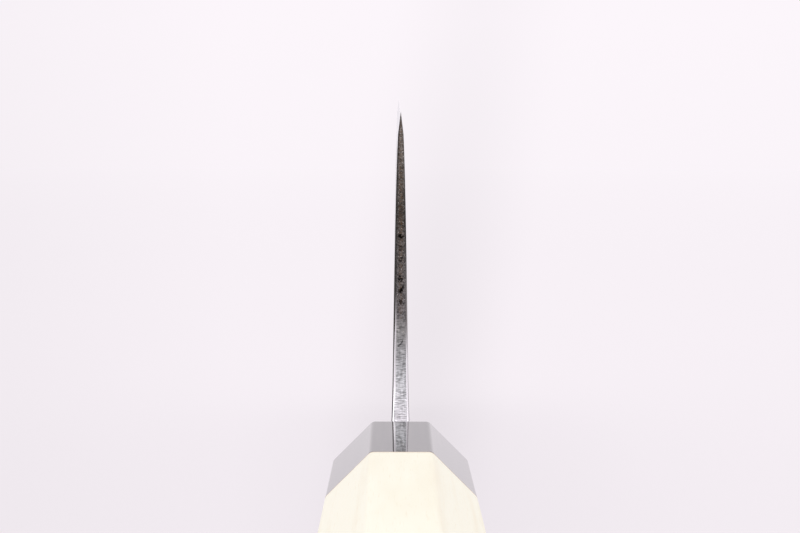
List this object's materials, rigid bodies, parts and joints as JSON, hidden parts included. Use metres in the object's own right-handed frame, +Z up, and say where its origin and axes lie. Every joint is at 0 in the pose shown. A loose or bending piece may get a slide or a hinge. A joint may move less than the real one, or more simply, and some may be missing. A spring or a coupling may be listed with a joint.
{
  "type": "nakiri knife",
  "caption": "Japanese vegetable knife with a tall, straight-edged laminated blade, a curved choil and an octagonal wooden handle with a black horn ferrule.",
  "frame": {"origin": "middle of the knife's length and width, level with the lowest point of the handle", "axes": "+Y from the butt of the handle to the front of the blade, +Z up towards the cutting edge (the knife stands edge up, on its spine side), +X to the right as seen from the butt"},
  "size_m": [0.0202, 0.307, 0.0618],
  "materials": {
    "core_steel": "hard carbon steel, stone-ground edge with fine lengthwise scratches",
    "cladding_steel": "soft steel, satin ground sides; dark, lightly pitted heel face; choil ground bright across",
    "black_horn": "black buffalo horn, sanded and polished to a gloss",
    "magnolia_wood": "pale magnolia, planed and fine-sanded, unvarnished, straight fine grain",
    "dowel_wood": "plain pale hardwood dowel",
    "sealing_resin": "dark wax and resin, scraped flush"
  },
  "bodies": {
    "root": {"blade_core": "core_steel", "cladding_left": "cladding_steel", "cladding_right": "cladding_steel", "ferrule": "black_horn", "handle_body": "magnolia_wood", "tang_dowel": "dowel_wood", "tang_seal": "sealing_resin"}
  },
  "joints": []
}
